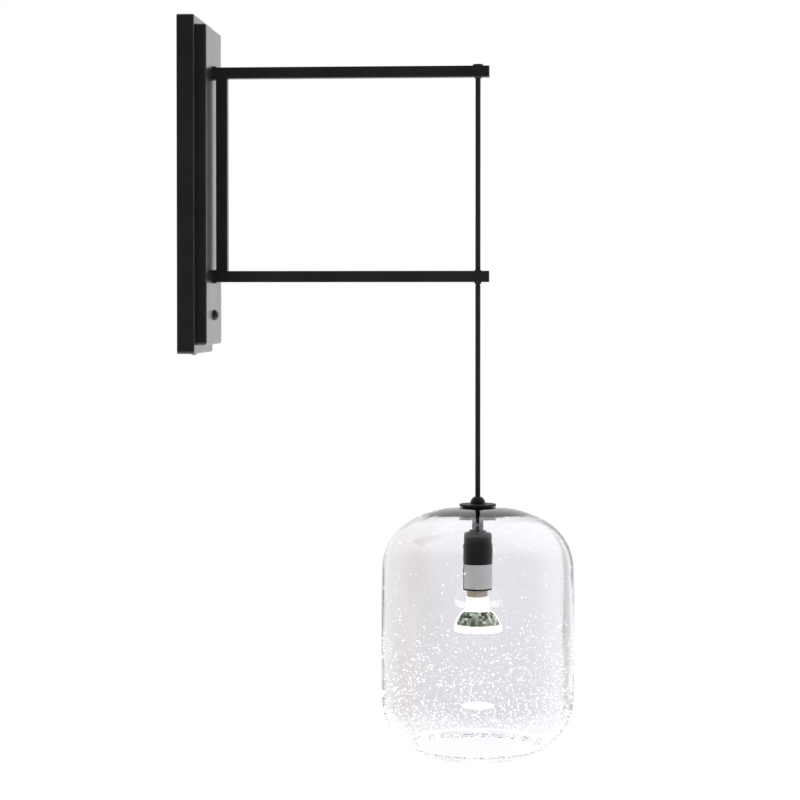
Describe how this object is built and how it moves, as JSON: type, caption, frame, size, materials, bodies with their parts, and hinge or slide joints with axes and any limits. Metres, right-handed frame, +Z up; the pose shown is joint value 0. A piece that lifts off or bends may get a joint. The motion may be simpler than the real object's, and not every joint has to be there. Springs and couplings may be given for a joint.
{
  "type": "pendant wall sconce",
  "caption": "Wall light with a stepped rectangular canopy, a square-tube bracket and a seeded glass shade hanging on a black cord.",
  "frame": {"origin": "centre of the canopy's back, on the wall plane", "axes": "+X out from the wall along the arms, +Y to the side, +Z up"},
  "size_m": [0.4147, 0.2054, 0.7791],
  "materials": {
    "black_metal": "satin black powder coat",
    "black_socket": "smooth satin black",
    "zinc_steel": "zinc plated steel",
    "brass": "plain brass",
    "black_cord": "matte black round cord",
    "black_rubber": "matte rubber",
    "white_plastic": "moulded plastic",
    "black_plastic": "moulded plastic",
    "holder_ceramic": "plain fired ceramic",
    "label_paper": "blank white paper",
    "seeded_glass": "clear blown glass with seed bubbles",
    "lamp_reflector": "faceted coated reflector",
    "lamp_capsule": "lit capsule",
    "lamp_lens": "clear front glass"
  },
  "bodies": {
    "fixture": {"wall_bracket": "zinc_steel", "outer_canopy": "black_metal", "inner_canopy": "black_metal", "tier_screws": "zinc_steel", "cover_stud": "zinc_steel", "cover_nut": "black_metal", "canopy_screw": "black_metal", "earth_screw": "brass", "terminal_block": "white_plastic", "terminal_screws": "brass", "upper_arm": "black_metal", "lower_arm": "black_metal", "back_post": "black_metal", "upper_root_plate": "black_metal", "lower_root_plate": "black_metal", "upper_end_cap": "black_metal", "lower_end_cap": "black_metal", "arm_plugs": "zinc_steel", "arm_studs": "zinc_steel", "arm_stud_nuts": "zinc_steel", "cord_bush": "black_plastic", "cord_clamp_screw": "black_metal", "upper_ferrule": "black_metal", "lower_bushing": "black_metal", "cord_inside": "black_cord", "cord_between_arms": "black_cord"},
    "cord_bend": {"cord_bend": "black_cord"},
    "cord_drop": {"cord_drop": "black_cord"},
    "pendant": {"cord_tail": "black_cord", "cord_grip": "black_metal", "upper_disc": "black_metal", "lower_disc": "black_metal", "shade_gaskets": "black_rubber", "threaded_tube": "black_metal", "coupler": "black_socket", "coupler_set_screw": "zinc_steel", "socket_collar": "black_socket", "socket_cap": "black_socket", "socket_sleeve": "black_socket", "tube_locknut": "zinc_steel", "holder_bridge": "zinc_steel", "holder_screws": "zinc_steel", "lampholder": "holder_ceramic", "lampholder_contacts": "brass", "socket_label": "label_paper", "glass_shade": "seeded_glass"},
    "lamp": {"bulb_base": "holder_ceramic", "bulb_pins": "brass", "bulb_reflector": "lamp_reflector", "bulb_capsule": "lamp_capsule", "bulb_lens": "lamp_lens"}
  },
  "joints": [
    {"name": "swing_from_wall", "type": "hinge", "parent": "fixture", "child": "cord_bend", "pos_m": [0.312, 0, -0.105], "axis": [0, 1, 0], "range_deg": [-20, 20]},
    {"name": "swing_sideways", "type": "hinge", "parent": "cord_bend", "child": "cord_drop", "pos_m": [0.312, 0, -0.105], "axis": [1, 0, 0], "range_deg": [-20, 20]},
    {"name": "twist_on_cord", "type": "hinge", "parent": "cord_drop", "child": "pendant", "pos_m": [0.312, 0, -0.3301], "axis": [0, 0, 1], "range_deg": [-90, 90]},
    {"name": "lamp_twist_lock", "type": "hinge", "parent": "pendant", "child": "lamp", "pos_m": [0.312, 0, -0.423], "axis": [0, 0, 1], "range_deg": [-30, 0]}
  ]
}
